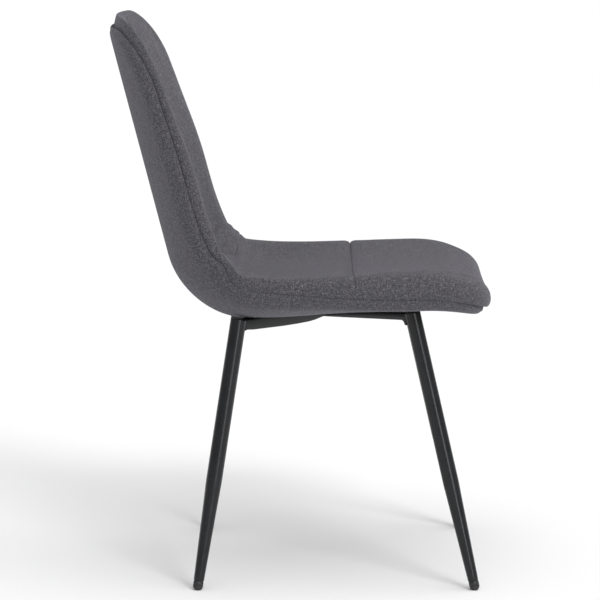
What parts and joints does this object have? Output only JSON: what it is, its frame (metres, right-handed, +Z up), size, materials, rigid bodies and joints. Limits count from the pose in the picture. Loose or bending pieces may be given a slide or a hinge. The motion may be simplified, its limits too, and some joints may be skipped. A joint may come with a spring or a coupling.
{
  "type": "dining chair",
  "caption": "Padded dining chair with a one-piece seat and back shell in heathered fabric, on a crossed black steel frame with splayed tapered legs.",
  "frame": {"origin": "on the floor, under the middle of the chair's outline", "axes": "+Z up; -Y towards the front, where the sitter looks; +X towards the sitter's left"},
  "size_m": [0.45, 0.5835, 0.8628],
  "materials": {
    "fabric": "heathered dark grey woven upholstery fabric",
    "foam": "polyurethane foam",
    "plywood": "moulded plywood, bare",
    "lining": "black non-woven lining",
    "black_steel": "satin black powder coat",
    "bolt_steel": "black oxide steel",
    "zinc": "zinc-plated steel",
    "glide": "black moulded nylon"
  },
  "bodies": {
    "root": {"outer_cover": "fabric", "outer_foam": "foam", "plywood_shell": "plywood", "seat_foam": "foam", "back_foam": "foam", "seat_cover_front": "fabric", "seat_cover_rear": "fabric", "back_cover_left": "fabric", "back_cover_centre": "fabric", "back_cover_right": "fabric", "dust_cover": "lining", "staples": "zinc", "tee_nuts": "zinc", "cross_bar": "black_steel", "cross_arm_front": "black_steel", "cross_arm_rear": "black_steel", "frame_bolts": "bolt_steel", "frame_washers": "zinc", "leg_front_left": "black_steel", "leg_front_right": "black_steel", "leg_rear_left": "black_steel", "leg_rear_right": "black_steel", "foot_glide_front_left": "glide", "foot_glide_front_right": "glide", "foot_glide_rear_left": "glide", "foot_glide_rear_right": "glide"}
  },
  "joints": []
}
